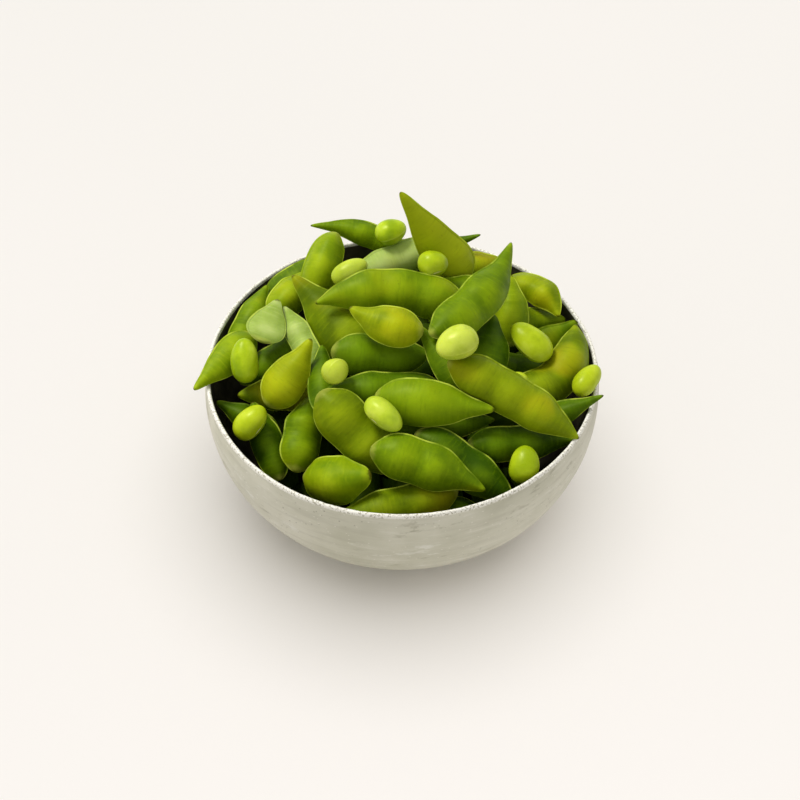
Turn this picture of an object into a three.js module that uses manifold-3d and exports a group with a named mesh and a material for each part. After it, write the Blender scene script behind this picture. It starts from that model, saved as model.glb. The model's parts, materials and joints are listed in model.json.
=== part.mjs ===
// A bundle of edamame: a heap of green soybean pods and a few shelled beans in a plain round bowl.
// Millimetres, +Z up, +Y towards the back. The origin is the middle of the bowl's flat foot.
// Each pod and bean is one solid. The listed ones form the visible heap; the pods buried under them
// are laid in crossing layers and joined into two solids.
import * as THREE from "three";
import { mergeVertices } from "three/addons/utils/BufferGeometryUtils.js";
import Module from "manifold-3d";

// ---------------------------------------------------------------- driving dimensions

const RIM_HEIGHT = 57;
const WALL = 3;
const BELLY_RADIUS = 71.2; // the bowl's widest outer radius, a little below its rim
const BELLY_HEIGHT = 46.3; // height of that widest ring
const BELLY_DROP = 58.9; // vertical half axis of the ellipse that the outer wall follows
const FLOOR_HEIGHT = 5;
const FOOT_BEVEL = 1;
const BOWL_SEGMENTS = 44;

const POD_SIDES = 8;
// Places along a pod, each [share of its length from the stem end, of its width, of its thickness].
const STEM_POINT = [0, 0, 0];
const NECK = [0.03, 0.3, 0.4];
const SHOULDER = [0.12, 0.8, 0.78];
const BEAK_END = [0.965, 0.14, 0.16];
const TIP_POINT = [1, 0, 0];
// Shares of a pod's width and thickness where the place along it depends on its beans and beak.
const BEAN_SWELL = [1, 1];
const BEAN_GAP = [0.93, 0.8];
const BEAK_START = [0.82, 0.78];
const BEAK_MIDDLE = [0.5, 0.46];

const BEAN_SIDES = 8;
const BEAN_RINGS = 5;

const BURIED_SIDES = 6;
const BURIED = { width: 13, thickness: 9.4, longest: 54, shortest: 26, spacing: 14.5, parting: 2 };
const BURIED_SINK = 3; // how far one layer of buried pods is pressed into the next, which joins them
const BURIED_SKEW = 0.06; // radians by which a buried pod may lie out of line with its layer
const BURIED_CLEARANCE = 2; // between a layer's edge and the bowl's wall
// Places along a buried pod, as above, with fewer of them.
const BURIED_PLACES = [
  STEM_POINT,
  [0.06, 0.55, 0.6],
  [0.18, 0.95, 0.95],
  [0.8, 0.9, 0.9],
  [0.95, 0.3, 0.35],
  TIP_POINT,
];

const GAP = 0.5; // clearance kept between neighbouring pieces while they settle
const SETTLE_PASSES = 240;
const FREE_PASSES = 90; // the last passes, in which nothing pulls a piece back to where it was put
const PULL = 0.02;
const SINK_PER_PASS = 0.012;
const SPHERE_STEP = 2.4; // the spheres that stand for a piece: their pitch, least radius and spread
const LEAST_RADIUS = 0.4;
const LEAST_SPREAD = 0.2;
const REACH_MARGIN = 8; // a piece can touch nothing further than this from its half length
const TOUCHING = 1e-3; // an overlap under this is let be
const TINY = 1e-6;
const REST_WAY = new THREE.Vector3(0, 0.69, -0.72).normalize(); // back and down, into the heap
const REST_GAP = 0.35; // clearance left where one piece lies on another
const REST_MOST = 5; // the furthest that a piece slides to its rest
const REST_STEPS = 14;
const LEAST_MOVE = 0.02;

const WALL_STEPS = 9;
const LIP_STEPS = 4;
const CERAMIC_ROUGHNESS = 0.55;
const SKIN_ROUGHNESS = 0.4;

// ---------------------------------------------------------------- what lies in the heap

const TONES = {
  green: 0x6f9a12,
  bright: 0x8fb522,
  yellow: 0xa7ae1a,
  olive: 0x75860f,
  deep: 0x456f10,
  pale: 0xb7cc70,
};
const BEAN_COLOUR = 0xa6c838;
const BOWL_COLOUR = 0xcfcabd;

// One row for each pod that shows:
// name, tone, stem end, tip end, [width, thickness], roll, bend, beans, where the beak starts.
// Roll 0 lays the pod's flat faces up and down. Bend is how far its middle bows sideways.
const PODS = [
  ["pod_spire", "yellow", [22.5, 33, 63], [-1, 40, 105], [19, 10], -60, 0, 1, 0.4],
  ["pod_right_blade", "green", [8, -8, 79], [40, 34, 85], [15, 10], 25, -5, 2, 0.66],
  ["pod_centre_arch", "green", [24, 10, 75], [-31, 9.5, 74], [15.5, 10], -45, -6, 3, 0.8],
  ["pod_left_wedge", "olive", [-10, -3, 62], [-40, 27, 76], [22, 12], -28, 0, 1, 0.5],
  ["pod_yellow_single", "yellow", [9, -4, 77], [-17, 0, 84], [14, 10], -42, 2, 1, 0.6],
  ["pod_centre_dark", "deep", [-24, -11, 71], [11, -11, 67], [15, 11], 42, -2, 2, 0.85],
  ["pod_centre_lower", "deep", [15, -15, 60], [-27, -23, 60], [13, 10], -40, 0, 2, 0.8],
  ["pod_small_upright", "green", [15, -26, 59], [5, -3, 77], [13, 9], -15, 0, 1, 0.5],
  ["pod_front_leaf", "green", [-9, -29, 62], [32, -33, 68], [16, 10.5], 44, 0, 1, 0.62],
  ["pod_right_long", "olive", [14, -16, 76], [59, -36, 58], [14.5, 10.5], 40, 1, 3, 0.8],
  ["pod_right_lower", "deep", [20, -34, 48], [59, -33.5, 53], [12, 9.5], 40, 0, 2, 0.7],
  ["pod_front_steep", "deep", [11, -20, 56], [34, -52, 46], [14, 9.5], 27, 0, 2, 0.85],
  ["pod_front_long", "green", [-11, -41.5, 60], [27, -57, 55], [15.5, 11], 40, 1.5, 2, 0.68],
  ["pod_left_diagonal", "olive", [-24, -22, 68], [-1, -47.5, 49], [17.5, 11], 25, -1, 2, 0.85],
  ["pod_fat_single", "bright", [-31.5, -46, 50], [-5, -46, 55], [16.5, 13], 42, -2, 1, 0.84],
  ["pod_front_rim", "olive", [19, -50, 47], [-24, -57, 46], [13, 10], -35, 1, 2, 0.8],
  ["pod_left_stub", "green", [-36, -41, 50], [-33, -14, 60], [13.5, 10], 15, 0, 2, 0.8],
  ["pod_left_tucked", "deep", [-42, -41, 44], [-54, -14, 51], [11, 8], -12, 0, 1, 0.75],
  ["pod_left_leaf", "yellow", [-43.5, -22, 56], [-29.5, -6, 75], [15, 10], 25, -1, 1, 0.55],
  ["pod_left_behind_leaf", "deep", [-29, -26, 55], [-30, -1, 70], [10, 8], 0, 0, 1, 0.7],
  ["pod_left_olive", "olive", [-24, -20, 51], [-57, -12, 53], [12, 10], -40, -1, 2, 0.8],
  ["pod_left_overhang", "bright", [-52, 10, 62], [-73, -16, 61], [13, 8], -30, 0, 1, 0.5],
  ["pod_back_right_curl", "yellow", [38, 39, 60], [57, 20, 57], [11, 8.5], 20, 5, 2, 0.8],
  ["pod_back_right_low", "green", [34, 22, 56], [61, 29, 57], [11, 9], 40, 0, 1, 0.75],
  ["pod_back_right_light", "bright", [40, 12, 54], [39.5, 34, 70], [12.5, 9.5], -5, 0, 1, 0.7],
  ["pod_right_round", "deep", [29, -14, 57], [32, 8, 75], [17, 13], 0, 0, 1, 0.72],
  ["pod_right_point", "green", [45, 4, 53], [64, 15, 62], [16, 9], 35, 0, 1, 0.5],
  ["pod_right_curve", "olive", [35, -17, 59], [64, 13, 61], [15, 12], 20, -10, 2, 0.88],
  ["pod_right_overhang", "deep", [38, -20, 48], [70, -23, 61], [9, 7], 35, 0, 2, 0.6],
  ["pod_back_left_big", "bright", [-24, 49, 78], [-35, 22, 66], [13, 12], -10, -1, 1, 0.8],
  ["pod_back_left_thin", "green", [2, 44, 72], [-35, 49, 79], [9, 7], -45, -3, 2, 0.6],
  ["pod_back_pale", "pale", [16, 40, 74], [-20, 31, 75], [12, 8], -45, 0, 2, 0.85],
  ["pod_back_right_tip", "deep", [2, 42, 71], [30, 50, 76.5], [8, 6], 40, 0, 1, 0.4],
  ["pod_back_right_ridge", "olive", [10, 41, 65], [39, 47, 65], [11, 9], 40, 0, 2, 0.85],
  ["pod_behind_arch", "green", [2, 24, 70], [34, 36, 68], [11, 9], 40, 0, 2, 0.85],
  ["pod_left_back_rim", "green", [-52, 38, 56], [-26, 52, 63], [10, 8], 35, 0, 1, 0.75],
  ["pod_left_cap", "bright", [-50, 25, 58], [-32, 37, 68], [13, 12], 30, 0, 1, 0.85],
  ["pod_left_flat", "pale", [-49, 3, 65], [-45, 21, 70], [16, 3], 19, 0, 1, 0.42],
  ["pod_left_rim", "green", [-62, 10, 53], [-49, 40, 59], [10, 7], 10, 0, 2, 0.75],
  ["pod_left_strip", "pale", [-28, -5, 62], [-44, 20, 67], [9, 6], -25, 0, 2, 0.75],
  ["pod_left_low", "deep", [-42, -20, 44], [-66, -13, 51], [10, 8], -35, 0, 1, 0.6],
  ["pod_gap_left", "deep", [-32, 14, 55], [-59, -3, 52], [12, 9], -35, 0, 2, 0.8],
  ["pod_gap_right", "deep", [56, 6, 52], [26, -5, 54], [12, 9], -35, 0, 2, 0.8],
  ["pod_gap_front", "deep", [-9, -32, 50], [34, -33, 48], [12, 9], 30, 0, 2, 0.8],
  ["pod_gap_front_rim", "deep", [6, -50, 35], [30, -53, 38], [11, 9], 30, 0, 2, 0.75],
];

// One row for each shelled bean: name, middle, [length, width, thickness], heading, pitch.
const BEANS = [
  ["bean_centre", [20, -18.5, 80], [15, 13, 11], 30, 20],
  ["bean_left_rim", [-57, -4, 63], [16, 10, 9], 95, 42],
  ["bean_left_low", [-52.5, -27, 55], [14, 10.5, 9], 30, 34],
  ["bean_front_yellow", [-6, -39, 70], [16, 9.5, 8.5], -55, -30],
  ["bean_left_nub", [-23, -24, 74], [10, 9, 9], 60, 20],
  ["bean_front_rim", [40, -46, 54], [13, 11, 9], 50, 32],
  ["bean_right", [46, 0, 68], [18, 12, 10], -30, -24],
  ["bean_right_low", [37, -19, 66], [14, 9, 9], 0, 0],
  ["bean_back_round", [11, 27, 82], [11, 10.5, 10], 20, 0],
  ["bean_back_left", [-19, 24, 81], [14, 9, 8.5], 22, 18],
  ["bean_right_rim", [66, -11, 57], [14, 8.5, 8], 80, 25],
  ["bean_back_top", [-2, 42, 78], [12, 10.5, 9.5], 10, 0],
];

// ---------------------------------------------------------------- the bowl

// Radius of the bowl's wall at a height, for the outer face or, inset by the wall, the inner one.
function wallRadius(height, inset) {
  const drop = (BELLY_HEIGHT - height) / (BELLY_DROP - inset);
  return (BELLY_RADIUS - inset) * Math.sqrt(1 - drop * drop);
}

function bowlGeometry() {
  const profile = [new THREE.Vector2(0, 0)];
  const lip = RIM_HEIGHT - WALL / 2;
  profile.push(new THREE.Vector2(wallRadius(0, 0) - FOOT_BEVEL, 0));
  for (let i = 0; i <= WALL_STEPS; i++) {
    const height = FOOT_BEVEL + (lip - FOOT_BEVEL) * (i / WALL_STEPS);
    profile.push(new THREE.Vector2(wallRadius(height, 0), height));
  }
  const outer = wallRadius(lip, 0);
  const inner = wallRadius(lip, WALL);
  for (let i = 1; i < LIP_STEPS; i++) {
    const turn = Math.PI * (i / LIP_STEPS);
    const radius = (outer + inner) / 2 + ((outer - inner) / 2) * Math.cos(turn);
    profile.push(new THREE.Vector2(radius, lip + (WALL / 2) * Math.sin(turn)));
  }
  const hollow = FLOOR_HEIGHT + FOOT_BEVEL;
  for (let i = 0; i <= WALL_STEPS; i++) {
    const height = lip + (hollow - lip) * (i / WALL_STEPS);
    profile.push(new THREE.Vector2(wallRadius(height, WALL), height));
  }
  profile.push(new THREE.Vector2(wallRadius(FLOOR_HEIGHT, WALL) - 2 * FOOT_BEVEL, FLOOR_HEIGHT));
  profile.push(new THREE.Vector2(0, FLOOR_HEIGHT));
  return new THREE.LatheGeometry(profile, BOWL_SEGMENTS).rotateX(Math.PI / 2);
}

// ---------------------------------------------------------------- pods and beans as lofts

// A loft is a row of stations along local X. Each has its place, sideways offset and tangent, and
// half its width (local Y) and thickness (local Z). The first and last are points.
function stationsAlong(length, width, thickness, bend, shares) {
  return shares.map(([share, wide, thick]) => {
    const along = 2 * share - 1;
    return {
      x: (length / 2) * along,
      y: bend * (1 - along * along),
      tangent: Math.atan((-4 * bend * along) / length),
      halfWidth: (width / 2) * wide,
      halfThickness: (thickness / 2) * thick,
    };
  });
}

function podStations({ length, width, thickness, bend, beans, beak }) {
  const [start] = SHOULDER;
  const pitch = (beak - start) / beans;
  const shares = [STEM_POINT, NECK, SHOULDER];
  for (let i = 0; i < beans; i++) {
    if (i > 0) shares.push([start + pitch * i, ...BEAN_GAP]);
    shares.push([start + pitch * (i + 0.5), ...BEAN_SWELL]);
  }
  shares.push([beak, ...BEAK_START]);
  shares.push([(beak + BEAK_END[0]) / 2, ...BEAK_MIDDLE]);
  shares.push(BEAK_END, TIP_POINT);
  return stationsAlong(length, width, thickness, bend, shares);
}

function buriedStations(length) {
  return stationsAlong(length, BURIED.width, BURIED.thickness, 0, BURIED_PLACES);
}

function beanStations([length, width, thickness]) {
  const stations = [];
  for (let i = 0; i <= BEAN_RINGS + 1; i++) {
    const turn = Math.PI * (i / (BEAN_RINGS + 1));
    stations.push({
      x: (-length / 2) * Math.cos(turn),
      y: 0,
      tangent: 0,
      halfWidth: (width / 2) * Math.sin(turn),
      halfThickness: (thickness / 2) * Math.sin(turn),
    });
  }
  return stations;
}

function loftGeometry(stations, sides) {
  const rings = stations.slice(1, -1);
  const points = [];
  for (const { x, y, tangent, halfWidth, halfThickness } of rings) {
    for (let i = 0; i < sides; i++) {
      const turn = (2 * Math.PI * i) / sides;
      const across = halfWidth * Math.cos(turn);
      points.push(x - across * Math.sin(tangent), y + across * Math.cos(tangent));
      points.push(halfThickness * Math.sin(turn));
    }
  }
  const first = stations[0];
  const last = stations[stations.length - 1];
  const stem = rings.length * sides;
  const tip = stem + 1;
  points.push(first.x, first.y, 0, last.x, last.y, 0);
  const faces = [];
  for (let i = 0; i < sides; i++) {
    const next = (i + 1) % sides;
    faces.push(stem, next, i);
    for (let ring = 0; ring < rings.length - 1; ring++) {
      const low = ring * sides;
      const high = low + sides;
      faces.push(low + i, low + next, high + next);
      faces.push(low + i, high + next, high + i);
    }
    const end = (rings.length - 1) * sides;
    faces.push(end + i, end + next, tip);
  }
  const geometry = new THREE.BufferGeometry();
  geometry.setAttribute("position", new THREE.Float32BufferAttribute(points, 3));
  geometry.setIndex(faces);
  return geometry;
}

// The same loft as a set of spheres [x, y, z, radius], which the settling uses for contact.
function loftSpheres(stations) {
  const spheres = [];
  for (let i = 0; i < stations.length - 1; i++) {
    const from = stations[i];
    const to = stations[i + 1];
    const steps = Math.max(1, Math.round(Math.hypot(to.x - from.x, to.y - from.y) / SPHERE_STEP));
    for (let step = 0; step < steps; step++) {
      const share = (step + 0.5) / steps;
      const at = (key) => from[key] + (to[key] - from[key]) * share;
      const radius = Math.max(LEAST_RADIUS, Math.min(at("halfThickness"), at("halfWidth")));
      const spread = Math.max(0, at("halfWidth") - radius);
      const across = spread < LEAST_SPREAD ? 0 : Math.ceil(spread / radius);
      for (let side = -across; side <= across; side++) {
        const shift = across ? (spread * side) / across : 0;
        const tangent = at("tangent");
        spheres.push([at("x") - shift * Math.sin(tangent), at("y") + shift * Math.cos(tangent), 0, radius]);
      }
    }
  }
  return spheres;
}

// ---------------------------------------------------------------- placing the pieces

const UP = new THREE.Vector3(0, 0, 1);

// A frame whose X runs along a direction, with its Y level, then rolled about that X.
function turnAlong(direction, roll) {
  const x = direction.clone().normalize();
  const y = new THREE.Vector3().crossVectors(UP, x).normalize();
  const z = new THREE.Vector3().crossVectors(x, y);
  const level = new THREE.Quaternion().setFromRotationMatrix(new THREE.Matrix4().makeBasis(x, y, z));
  const rolled = new THREE.Quaternion().setFromAxisAngle(new THREE.Vector3(1, 0, 0), roll);
  return level.multiply(rolled);
}

function makePiece(name, stations, sides, colour, position, quaternion) {
  const spheres = loftSpheres(stations);
  const length = stations[stations.length - 1].x - stations[0].x;
  return {
    name,
    colour,
    geometry: loftGeometry(stations, sides),
    spheres,
    position: position.clone(),
    quaternion: quaternion.clone(),
    home: position.clone(),
    homeTurn: quaternion.clone(),
    mass: length,
    spin: (length * length * length) / 12,
    reach: length / 2 + REACH_MARGIN,
    world: new Float64Array(spheres.length * 4),
  };
}

function podPiece([name, tone, stem, tip, [width, thickness], roll, bend, beans, beak]) {
  const from = new THREE.Vector3(...stem);
  const to = new THREE.Vector3(...tip);
  const length = from.distanceTo(to);
  const stations = podStations({ length, width, thickness, bend, beans, beak });
  const turn = turnAlong(to.clone().sub(from), THREE.MathUtils.degToRad(roll));
  const middle = from.clone().add(to).multiplyScalar(0.5);
  return makePiece(name, stations, POD_SIDES, TONES[tone], middle, turn);
}

function beanPiece([name, middle, size, heading, pitch]) {
  const yaw = THREE.MathUtils.degToRad(heading);
  const rise = THREE.MathUtils.degToRad(pitch);
  const level = Math.cos(rise);
  const along = new THREE.Vector3(level * Math.cos(yaw), level * Math.sin(yaw), Math.sin(rise));
  const turn = turnAlong(along, 0);
  return makePiece(name, beanStations(size), BEAN_SIDES, BEAN_COLOUR, new THREE.Vector3(...middle), turn);
}

// ---------------------------------------------------------------- pods buried in the bowl

// One layer of buried pods: parallel rows of one or two pods each, inside a radius.
function buriedLayer({ height, radius, heading, pairs }) {
  const layer = [];
  const rows = Math.floor((radius - BURIED.width / 2) / BURIED.spacing);
  for (let row = -rows; row <= rows; row++) {
    const offset = row * BURIED.spacing;
    const edge = Math.abs(offset) + BURIED.width / 3;
    const chord = Math.sqrt(Math.max(0, radius * radius - edge * edge));
    const room = pairs ? chord - BURIED.parting : 2 * chord;
    const length = Math.min(BURIED.longest, room);
    if (length < BURIED.shortest) continue;
    for (const side of pairs ? [-1, 1] : [0]) {
      const middle = new THREE.Vector3((side * (length + BURIED.parting)) / 2, offset, height);
      middle.applyAxisAngle(UP, heading);
      const skew = BURIED_SKEW * Math.sin(7 * row + 3 * side + height);
      const direction = new THREE.Vector3(1, 0, 0).applyAxisAngle(UP, heading + skew);
      const turn = turnAlong(direction, 0);
      layer.push(makePiece("", buriedStations(length), BURIED_SIDES, TONES.deep, middle, turn));
    }
  }
  return layer;
}

const LAYER_PITCH = BURIED.thickness - BURIED_SINK;
const LOW_START = FLOOR_HEIGHT + BURIED.thickness / 2 + GAP;
const HIGH_START = LOW_START + 3 * LAYER_PITCH + BURIED.thickness + GAP;
const roomAt = (height) => wallRadius(height - BURIED.thickness / 3, WALL) - BURIED_CLEARANCE;

function buriedHeap(name, start, plan) {
  const pods = plan.flatMap(({ radius, heading, pairs }, level) => {
    const height = start + level * LAYER_PITCH;
    return buriedLayer({ height, radius: Math.min(radius, roomAt(height)), heading, pairs });
  });
  return { name, pods };
}

const BURIED_HEAPS = [
  buriedHeap("buried_pods_low", LOW_START, [
    { radius: 44, heading: 0.2, pairs: false },
    { radius: 58, heading: 1.75, pairs: true },
    { radius: 62, heading: 0.1, pairs: true },
    { radius: 64, heading: 1.6, pairs: true },
  ]),
  buriedHeap("buried_pods_high", HIGH_START, [
    { radius: 62, heading: 0.3, pairs: true },
    { radius: 48, heading: 1.9, pairs: true },
    { radius: 34, heading: 0.4, pairs: false },
  ]),
];

const wasm = await Module();
wasm.setup();

function solidOf(geometry) {
  const bare = geometry.clone();
  bare.deleteAttribute("normal");
  bare.deleteAttribute("uv");
  const merged = mergeVertices(bare);
  return new wasm.Manifold(
    new wasm.Mesh({
      numProp: 3,
      vertProperties: merged.attributes.position.array,
      triVerts: new Uint32Array(merged.index.array),
    }),
  );
}

function geometryOf(solid) {
  const { vertProperties, triVerts } = solid.getMesh();
  const geometry = new THREE.BufferGeometry();
  geometry.setAttribute("position", new THREE.BufferAttribute(vertProperties, 3));
  geometry.setIndex(new THREE.BufferAttribute(triVerts, 1));
  return geometry;
}

const NO_SCALE = new THREE.Vector3(1, 1, 1);
const placing = new THREE.Matrix4();

function placedSolid({ geometry, position, quaternion }) {
  return solidOf(geometry.clone().applyMatrix4(placing.compose(position, quaternion, NO_SCALE)));
}

// The pods as one body: what touches nothing else is left out, and a sealed hollow is filled.
function joinedGeometry(pods) {
  const bodies = pods.map(placedSolid).reduce((joined, solid) => joined.add(solid)).decompose();
  return geometryOf(bodies.reduce((most, body) => (body.volume() > most.volume() ? body : most)));
}

// ---------------------------------------------------------------- settling

const spot = new THREE.Vector3();

function placeSpheres(piece) {
  piece.spheres.forEach(([x, y, z, radius], i) => {
    spot.set(x, y, z).applyQuaternion(piece.quaternion).add(piece.position);
    piece.world.set([spot.x, spot.y, spot.z, radius], 4 * i);
  });
}

const arm = new THREE.Vector3();
const swing = new THREE.Vector3();
const axis = new THREE.Vector3();
const twist = new THREE.Quaternion();

// How readily a piece moves when it is pushed at a point along a normal.
function give(piece, point, normal) {
  arm.subVectors(point, piece.position);
  swing.crossVectors(arm, normal);
  return 1 / piece.mass + swing.lengthSq() / piece.spin;
}

function push(piece, point, normal, impulse) {
  arm.subVectors(point, piece.position);
  swing.crossVectors(arm, normal).multiplyScalar(impulse / piece.spin);
  const angle = swing.length();
  if (angle > 0) {
    twist.setFromAxisAngle(axis.copy(swing).divideScalar(angle), angle);
    piece.quaternion.premultiply(twist).normalize();
  }
  piece.position.addScaledVector(normal, impulse / piece.mass);
  placeSpheres(piece);
}

const touch = new THREE.Vector3();
const normal = new THREE.Vector3();

// Moves two pieces apart at the place where they overlap most. A fixed piece stays where it is.
function separate(a, b, bFixed) {
  if (a.position.distanceTo(b.position) > a.reach + b.reach) return;
  const aw = a.world;
  const bw = b.world;
  let deepest = TOUCHING;
  let atA = -1;
  let atB = -1;
  for (let i = 0; i < aw.length; i += 4) {
    for (let j = 0; j < bw.length; j += 4) {
      const dx = aw[i] - bw[j];
      const dy = aw[i + 1] - bw[j + 1];
      const dz = aw[i + 2] - bw[j + 2];
      const apart = aw[i + 3] + bw[j + 3] + GAP;
      const square = dx * dx + dy * dy + dz * dz;
      if (square >= apart * apart) continue;
      const depth = apart - Math.sqrt(square);
      if (depth > deepest) [deepest, atA, atB] = [depth, i, j];
    }
  }
  if (atA < 0) return;
  normal.set(aw[atA] - bw[atB], aw[atA + 1] - bw[atB + 1], aw[atA + 2] - bw[atB + 2]);
  if (normal.lengthSq() < TINY) normal.copy(UP);
  normal.normalize();
  touch.set(bw[atB], bw[atB + 1], bw[atB + 2]).addScaledVector(normal, bw[atB + 3] + GAP / 2);
  const total = give(a, touch, normal) + (bFixed ? 0 : give(b, touch, normal));
  const impulse = deepest / total;
  const away = normal.clone();
  const place = touch.clone();
  push(a, place, away, impulse);
  if (!bFixed) push(b, place, away.negate(), impulse);
}

// Keeps a piece inside the bowl's wall and floor, and off its lip.
function keepInBowl(piece) {
  const lipHeight = RIM_HEIGHT - WALL / 2;
  const lipRadius = (wallRadius(lipHeight, 0) + wallRadius(lipHeight, WALL)) / 2;
  const a = BELLY_RADIUS - WALL;
  const b = BELLY_DROP - WALL;
  let deepest = TOUCHING;
  for (let i = 0; i < piece.world.length; i += 4) {
    const [x, y, z, radius] = piece.world.subarray(i, i + 4);
    const out = Math.hypot(x, y) || TINY;
    let depth;
    let outward;
    let upward;
    if (z > lipHeight) {
      const away = Math.hypot(out - lipRadius, z - lipHeight);
      depth = radius + WALL / 2 + GAP - away;
      outward = (out - lipRadius) / away;
      upward = (z - lipHeight) / away;
    } else {
      const drop = BELLY_HEIGHT - z;
      const level = (out / a) ** 2 + (drop / b) ** 2;
      const slope = Math.hypot(out / a ** 2, drop / b ** 2);
      depth = radius + GAP - (1 - level) / (2 * slope);
      outward = -out / a ** 2 / slope;
      upward = drop / b ** 2 / slope;
      const floorDepth = FLOOR_HEIGHT + radius + GAP - z;
      if (floorDepth > depth) [depth, outward, upward] = [floorDepth, 0, 1];
    }
    if (depth <= deepest) continue;
    deepest = depth;
    normal.set((outward * x) / out, (outward * y) / out, upward);
    touch.set(x, y, z);
  }
  if (deepest <= TOUCHING) return;
  normal.normalize();
  push(piece, touch.clone(), normal.clone(), deepest / give(piece, touch, normal));
}

// Lets the pieces sink a little and pushes them apart until none overlaps another or the bowl.
function settle(pieces, fixed) {
  [...pieces, ...fixed].forEach(placeSpheres);
  for (let pass = 0; pass < SETTLE_PASSES; pass++) {
    const free = pass > SETTLE_PASSES - FREE_PASSES;
    pieces.forEach((piece, i) => {
      if (!free) {
        piece.position.lerp(piece.home, PULL);
        piece.position.z -= SINK_PER_PASS;
        piece.quaternion.slerp(piece.homeTurn, PULL);
        placeSpheres(piece);
      }
      for (const other of pieces.slice(i + 1)) separate(piece, other, false);
      for (const other of fixed) separate(piece, other, true);
      keepInBowl(piece);
    });
  }
}

// Slides each piece back and down until it lies on what is behind or below it, the deepest pieces first.
function rest(pieces, obstacles) {
  const solids = new Map(pieces.map((piece) => [piece, placedSolid(piece)]));
  const depth = (piece) => piece.position.dot(REST_WAY);
  for (const piece of [...pieces].sort((a, b) => depth(b) - depth(a))) {
    const near = (other) => {
      const reach = piece.reach + other.reach + REST_MOST;
      return other !== piece && other.position.distanceTo(piece.position) < reach;
    };
    const others = [...obstacles, ...pieces.filter(near).map((other) => solids.get(other))];
    let left = REST_MOST;
    for (let step = 0; step < REST_STEPS; step++) {
      const solid = solids.get(piece);
      const gap = Math.min(...others.map((other) => solid.minGap(other, REST_MOST)));
      const move = Math.min(gap - REST_GAP, left);
      if (move < LEAST_MOVE) break;
      piece.position.addScaledVector(REST_WAY, move);
      solids.set(piece, placedSolid(piece));
      left -= move;
    }
  }
}

// ---------------------------------------------------------------- the whole bundle

const bowl = bowlGeometry();
const heaps = BURIED_HEAPS.map(({ name, pods }) => ({ name, geometry: joinedGeometry(pods) }));
const pieces = [...PODS.map(podPiece), ...BEANS.map(beanPiece)];
settle(pieces, BURIED_HEAPS.flatMap(({ pods }) => pods));
rest(pieces, [bowl, ...heaps.map(({ geometry }) => geometry)].map(solidOf));

function addMesh(group, name, geometry, colour, roughness = SKIN_ROUGHNESS) {
  const material = new THREE.MeshStandardMaterial({ color: colour, roughness, metalness: 0 });
  const mesh = new THREE.Mesh(geometry, material);
  mesh.name = name;
  group.add(mesh);
  return mesh;
}

const group = new THREE.Group();
addMesh(group, "bowl", bowl, BOWL_COLOUR, CERAMIC_ROUGHNESS);
for (const { name, geometry } of heaps) {
  addMesh(group, name, geometry, TONES.deep);
}
for (const { name, geometry, colour, position, quaternion } of pieces) {
  const mesh = addMesh(group, name, geometry, colour);
  mesh.position.copy(position);
  mesh.quaternion.copy(quaternion);
}

export default group;
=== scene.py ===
"""A bowl heaped with edamame: plump green soybean pods and shelled beans in a rough pale stoneware bowl.

Every pod and bean is built again from the loft that its CAD node is: its stations are read back from
the node, and a fine skin with sutures, bean bulges, a beak and a stem scar is laid through them.
Metres, Z up, in the frame of the CAD model.
"""

import json
import math
import random

import bmesh
import bpy
import numpy as np
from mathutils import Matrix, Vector, noise


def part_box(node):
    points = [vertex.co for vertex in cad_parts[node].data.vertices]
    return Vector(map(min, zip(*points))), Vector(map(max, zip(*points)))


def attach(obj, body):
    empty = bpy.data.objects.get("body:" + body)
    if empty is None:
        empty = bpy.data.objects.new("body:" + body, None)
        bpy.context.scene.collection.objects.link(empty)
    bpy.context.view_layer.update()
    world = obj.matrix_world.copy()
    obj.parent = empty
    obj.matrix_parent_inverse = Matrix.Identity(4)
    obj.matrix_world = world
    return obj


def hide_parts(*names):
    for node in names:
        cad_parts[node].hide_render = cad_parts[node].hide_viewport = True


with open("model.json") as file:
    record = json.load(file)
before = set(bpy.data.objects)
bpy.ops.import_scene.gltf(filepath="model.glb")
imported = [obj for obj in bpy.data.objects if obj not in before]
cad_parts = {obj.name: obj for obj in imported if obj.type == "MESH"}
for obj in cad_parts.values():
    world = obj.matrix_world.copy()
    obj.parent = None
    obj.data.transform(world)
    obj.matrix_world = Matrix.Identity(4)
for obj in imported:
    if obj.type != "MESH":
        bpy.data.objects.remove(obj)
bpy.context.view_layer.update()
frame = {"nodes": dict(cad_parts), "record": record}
NODES = frame["nodes"]
SLOT_OF = {part["node"]: part["material_slot"] for part in frame["record"]["subparts"]}

MM = 0.001
WELD = 0.02 * MM      # corners of a CAD node closer than this are one corner
LOFT_SIDES = 8        # a pod's or bean's CAD loft has this many sides
TINY = 1e-9           # keeps a length of 0 from being divided by

POD_ALONG, POD_AROUND = 84, 44
BEAN_ALONG, BEAN_AROUND = 48, 36
BOWL_AROUND = 220
BURIED_VOXEL = 0.8 * MM
EDGE_CROWDING = 0.3   # how much the points round a section crowd towards its two edges
END_CROWDING = 0.55   # and how much a pod's sections crowd towards its two ends


def new_object(name, data):
    made = bpy.data.objects.new(name, data)
    bpy.context.scene.collection.objects.link(made)
    return made


def welded(mesh):
    """An editable copy of a mesh, with the corners that lie together made one."""
    bm = bmesh.new()
    bm.from_mesh(mesh)
    bmesh.ops.remove_doubles(bm, verts=bm.verts, dist=WELD)
    return bm


# ------------------------------------------------------------------ reading a loft back

def loft_rings(node):
    """The rings of a CAD loft from pole to pole, each as an array of points."""
    bm = welded(NODES[node].data)
    poles = [v for v in bm.verts if len(v.link_edges) == LOFT_SIDES]
    level, seen, rings = [poles[0]], {poles[0]}, []
    while level:
        rings.append(np.array([v.co for v in level]))
        following = []
        for v in level:
            for edge in v.link_edges:
                other = edge.other_vert(v)
                if other not in seen:
                    seen.add(other)
                    following.append(other)
        level = following
    bm.free()
    return rings


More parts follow.
